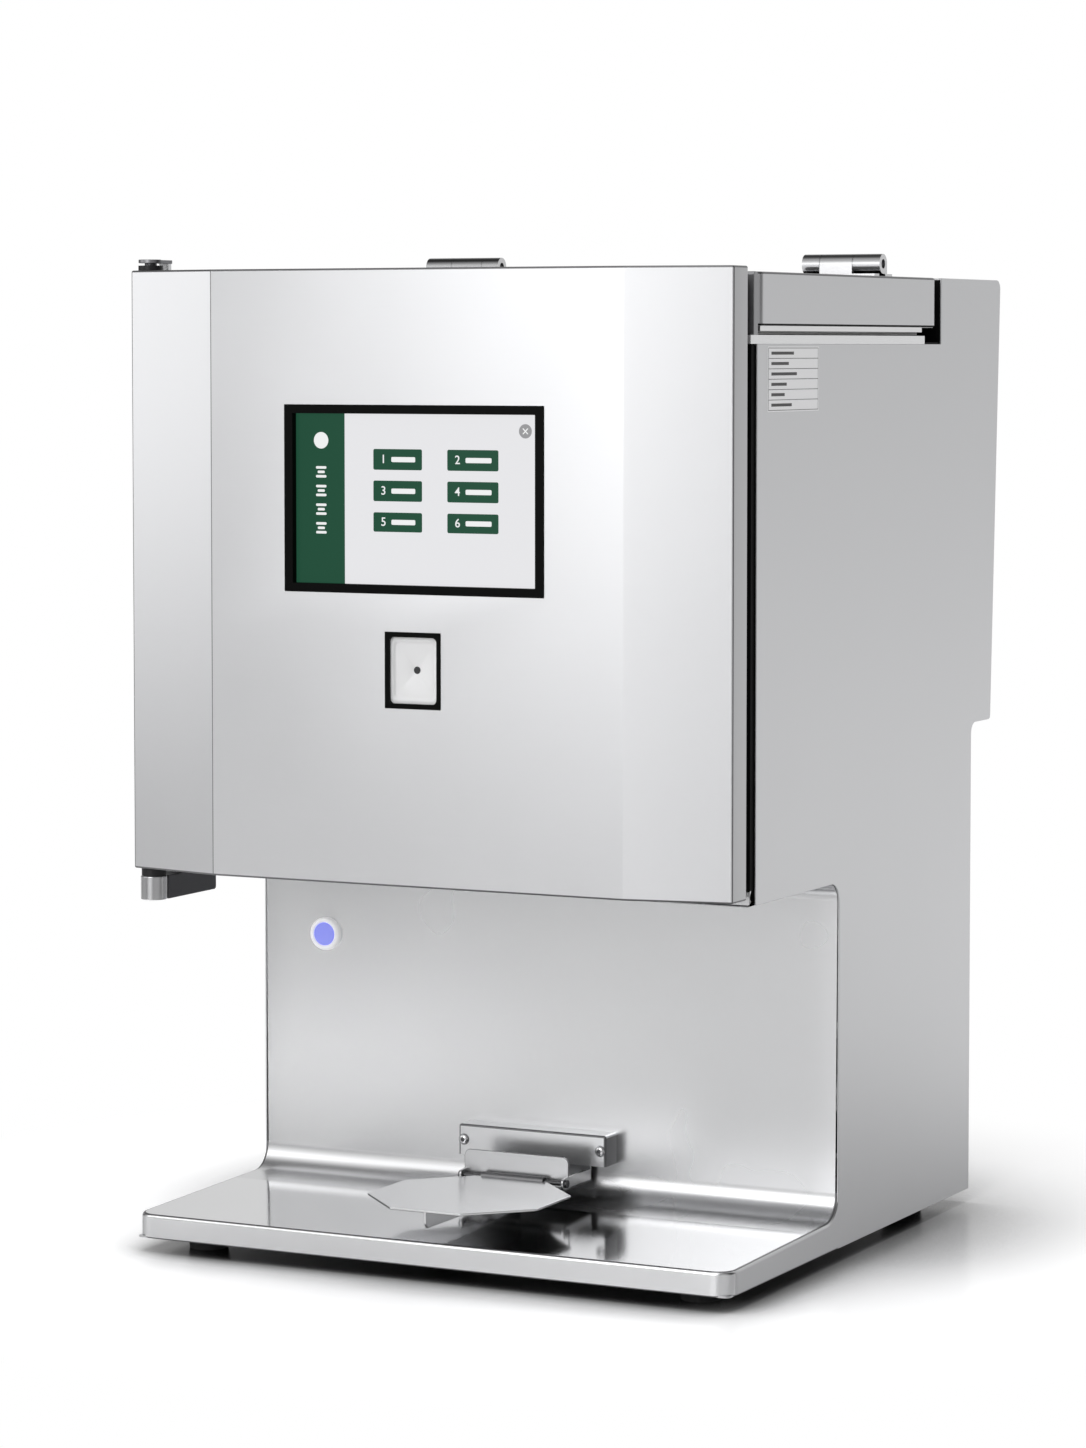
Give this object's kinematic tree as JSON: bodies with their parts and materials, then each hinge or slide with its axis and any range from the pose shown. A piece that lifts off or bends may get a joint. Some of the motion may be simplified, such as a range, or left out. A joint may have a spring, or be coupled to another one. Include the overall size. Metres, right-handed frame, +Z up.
{
  "type": "yogurt dispenser",
  "caption": "Counter-top chilled yogurt dispenser: screen door, top lid, roller pump and nozzle over an open cup bay with a fold-up cup rest.",
  "frame": {"origin": "on the counter, under the middle of the outline", "axes": "+Z up, -Y towards the user in front of the door, +X to the user's right"},
  "size_m": [0.54, 0.5894, 0.827],
  "materials": {
    "steel": "satin",
    "bright_steel": "satin",
    "chrome": "polished",
    "aluminium": "satin",
    "black_rubber": "matte",
    "white_rubber": "matte",
    "clear_tube": "satin",
    "black_plastic": "satin",
    "white_plastic": "gloss",
    "blue_plastic": "gloss",
    "pump_plastic": "satin",
    "clear_plastic": "gloss",
    "screen_glass": "gloss",
    "foam": "matte",
    "lid_core": "satin",
    "compressor_shell": "satin",
    "copper": "satin",
    "circuit_board": "satin",
    "motor_metal": "satin",
    "supply_case": "satin"
  },
  "bodies": {
    "cabinet": {"deck_and_splash": "steel", "base_plate": "steel", "rubber_feet": "black_rubber", "left_side_panel": "steel", "right_side_panel": "steel", "box_floor": "steel", "lower_back_panel": "steel", "rear_hood": "steel", "bulkhead": "steel", "insulation": "foam", "cold_liner": "bright_steel", "breaker_strips": "black_plastic", "front_rail": "bright_steel", "top_rim": "aluminium", "compressor": "compressor_shell", "condenser": "aluminium", "fan_frame": "black_plastic", "evaporator": "aluminium", "refrigerant_pipes": "copper", "power_supply": "supply_case", "control_board": "circuit_board", "mains_inlet": "black_plastic", "pump_motor": "motor_metal", "pump_head": "pump_plastic", "pump_cover": "clear_plastic", "pump_tube": "clear_tube", "yogurt_tank": "bright_steel", "nozzle": "bright_steel", "lower_hinge_bracket": "chrome", "upper_hinge_plate": "chrome", "hinge_pins": "chrome", "button_body": "white_plastic", "button_nut": "black_plastic", "cup_cover": "steel", "cover_screws": "chrome", "weigh_bar": "aluminium", "cup_carrier": "bright_steel", "lid_hinge_bases": "chrome"},
    "door": {"door_skin": "steel", "door_liner": "white_plastic", "door_foam": "foam", "door_gasket": "black_rubber", "door_bushes": "black_plastic", "screen_frame": "black_plastic", "screen_panel": "screen_glass", "scanner_frame": "black_plastic", "scanner_window": "white_plastic", "scanner_lens": "black_plastic"},
    "lid": {"lid_skin": "steel", "lid_liner": "lid_core", "lid_gasket": "white_rubber", "lid_hinge_leaves": "chrome"},
    "start_button": {"button_cap": "blue_plastic"},
    "cup_rest": {"cup_plate": "bright_steel"},
    "pump_spider": {"pump_rotor": "aluminium"},
    "roller_1": {"pump_roller_1": "white_plastic"},
    "roller_2": {"pump_roller_2": "white_plastic"},
    "roller_3": {"pump_roller_3": "white_plastic"},
    "fan": {"fan_rotor": "black_plastic"},
    "mains_rocker": {"mains_switch": "black_plastic"}
  },
  "joints": [
    {"name": "door_hinge", "type": "hinge", "parent": "cabinet", "child": "door", "pos_m": [-0.259, -0.26455, 0.56], "axis": [0, 0, -1], "range_deg": [0, 110]},
    {"name": "lid_hinge", "type": "hinge", "parent": "cabinet", "child": "lid", "pos_m": [0, 0.14705, 0.8185], "axis": [-1, 0, 0], "range_deg": [0, 95]},
    {"name": "button_press", "type": "slide", "parent": "cabinet", "child": "start_button", "axis": [0, 1, 0], "range_m": [0, 0.0025], "stiffness_N_per_m": 800, "springref_m": -0.002},
    {"name": "cup_rest_fold", "type": "hinge", "parent": "cabinet", "child": "cup_rest", "pos_m": [0, -0.1192, 0.056], "axis": [-1, 0, 0], "range_deg": [0, 88]},
    {"name": "pump_spin", "type": "hinge", "parent": "cabinet", "child": "pump_spider", "pos_m": [0.098, -0.1927, 0.431], "axis": [0, 1, 0], "continuous": true},
    {"name": "roller_1_spin", "type": "hinge", "parent": "pump_spider", "child": "roller_1", "pos_m": [0.098, -0.1927, 0.4517], "axis": [0, 1, 0], "continuous": true},
    {"name": "roller_2_spin", "type": "hinge", "parent": "pump_spider", "child": "roller_2", "pos_m": [0.08007, -0.1927, 0.42065], "axis": [0, 1, 0], "continuous": true},
    {"name": "roller_3_spin", "type": "hinge", "parent": "pump_spider", "child": "roller_3", "pos_m": [0.11593, -0.1927, 0.42065], "axis": [0, 1, 0], "continuous": true},
    {"name": "fan_spin", "type": "hinge", "parent": "cabinet", "child": "fan", "pos_m": [0.128, 0.1378, 0.1465], "axis": [0, 1, 0], "continuous": true},
    {"name": "mains_rock", "type": "hinge", "parent": "cabinet", "child": "mains_rocker", "pos_m": [-0.19, 0.2263, 0.098], "axis": [1, 0, 0], "range_deg": [0, 16]}
  ],
  "couplings": [
    {"joint": "roller_1_spin", "follows": "pump_spin", "ratio": -3.3},
    {"joint": "roller_2_spin", "follows": "pump_spin", "ratio": -3.3},
    {"joint": "roller_3_spin", "follows": "pump_spin", "ratio": -3.3}
  ]
}
